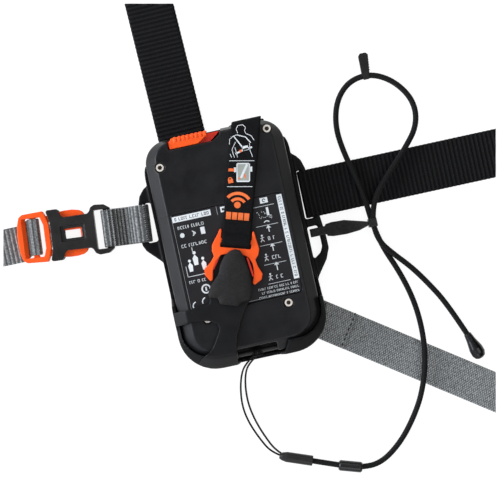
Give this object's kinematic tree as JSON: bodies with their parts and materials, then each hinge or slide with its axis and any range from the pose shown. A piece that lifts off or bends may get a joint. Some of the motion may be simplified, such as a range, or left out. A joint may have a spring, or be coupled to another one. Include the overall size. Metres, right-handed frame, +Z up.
{
  "type": "avalanche transceiver in carrying holder",
  "caption": "Avalanche transceiver in a moulded holder with a webbing flap, an orange hook frame under a rubber tongue, harness straps, a side-release buckle and a hand leash.",
  "frame": {"origin": "centre of the holder's flat resting face, on the surface it lies on", "axes": "+X across the holder towards the chest strap's side, +Y along the transceiver towards the mode switch, +Z up from the resting surface, out of the label face"},
  "size_m": [0.2714, 0.2703, 0.0363],
  "materials": {
    "black_plastic": "fine moulded grain, matte",
    "front_plastic": "fine moulded grain, matte",
    "seal_red": "moulded rubber",
    "gasket_black": "moulded rubber",
    "cell_jacket": "printed jacket, satin",
    "contact_metal": "nickel plated",
    "board_green": "solder mask",
    "ferrite": "sintered",
    "copper_coil": "enamelled wire",
    "display_grey": "liquid crystal panel",
    "window_clear": "clear polycarbonate",
    "keypad_rubber": "silicone",
    "speaker_black": "paper cone and plastic frame",
    "motor_steel": "drawn can",
    "orange_plastic": "moulded, satin",
    "track_red": "moulded, satin",
    "button_grey": "silicone",
    "screw_steel": "passivated stainless steel",
    "tray_black": "tough moulded plastic, fine grain",
    "rubber_black": "soft moulded rubber",
    "cap_grey": "coarse grain grip surface",
    "webbing_black": "tight flat webbing",
    "elastic_black": "ribbed elastic webbing",
    "webbing_grey": "heathered grey webbing",
    "webbing_dark_grey": "grey webbing with a dark pin-dot weave",
    "cord_black": "braided elastic cord",
    "clip_black": "moulded, semi-gloss"
  },
  "bodies": {
    "carrier": {"back_shell": "black_plastic", "front_shell": "front_plastic", "shell_seal": "seal_red", "battery_door": "black_plastic", "door_gasket": "gasket_black", "batteries": "cell_jacket", "battery_contacts": "contact_metal", "circuit_board": "board_green", "antenna_rods": "ferrite", "antenna_coils": "copper_coil", "display_module": "display_grey", "display_window": "window_clear", "keypad_membrane": "keypad_rubber", "speaker": "speaker_black", "vibration_motor": "motor_steel", "switch_track": "track_red", "housing_screws": "screw_steel", "lanyard_pin": "screw_steel", "carrier_tray": "tray_black", "strap_rivets": "screw_steel", "tongue_roots": "rubber_black", "flap_root": "webbing_black", "shoulder_strap": "elastic_black", "chest_strap": "elastic_black", "waist_strap": "webbing_dark_grey", "buckle_strap": "webbing_grey", "buckle_female": "clip_black", "leash_cord": "cord_black", "loop_strand_left": "cord_black", "loop_strand_right": "cord_black", "loop_hitch": "cord_black", "leash_barrel": "clip_black", "leash_bead": "clip_black", "cord_end": "clip_black", "leash_clip": "clip_black", "cord_collar": "clip_black", "pull_tab": "cap_grey"},
    "flap": {"flap_strap": "webbing_black", "flap_buckle": "orange_plastic"},
    "tongue": {"tongue": "rubber_black", "tongue_cap": "cap_grey"},
    "mode_switch": {"mode_switch": "orange_plastic"},
    "left_button": {"button_left": "button_grey"},
    "centre_button": {"button_centre": "button_grey"},
    "right_button": {"button_right": "button_grey"},
    "side_release_male": {"buckle_male": "orange_plastic", "adjuster_strap": "webbing_grey"}
  },
  "joints": [
    {"name": "flap_open", "type": "hinge", "parent": "carrier", "child": "flap", "pos_m": [0.0195, 0.0609, 0.0316], "axis": [-1, 0, 0], "range_deg": [0, 88]},
    {"name": "tongue_fold", "type": "hinge", "parent": "carrier", "child": "tongue", "pos_m": [-0.0373, -0.032, 0.0327], "axis": [0.6112, -0.7915, 0], "range_deg": [0, 168], "stiffness_Nm_per_rad": 0.002},
    {"name": "mode_switch_slide", "type": "slide", "parent": "carrier", "child": "mode_switch", "axis": [1, 0, 0], "range_m": [0, 0.006]},
    {"name": "left_button_press", "type": "slide", "parent": "carrier", "child": "left_button", "axis": [0, 0, 1], "range_m": [0, 0.0006], "stiffness_N_per_m": 1000},
    {"name": "centre_button_press", "type": "slide", "parent": "carrier", "child": "centre_button", "axis": [0, 0, 1], "range_m": [0, 0.0006], "stiffness_N_per_m": 1000},
    {"name": "right_button_press", "type": "slide", "parent": "carrier", "child": "right_button", "axis": [0, 0, 1], "range_m": [0, 0.0006], "stiffness_N_per_m": 1000},
    {"name": "buckle_release", "type": "slide", "parent": "carrier", "child": "side_release_male", "axis": [-0.9965, 0.0837, 0], "range_m": [0, 0.03]}
  ],
  "couplings": [
    {"joint": "tongue_fold", "follows": "flap_open", "ratio": 1.9}
  ]
}
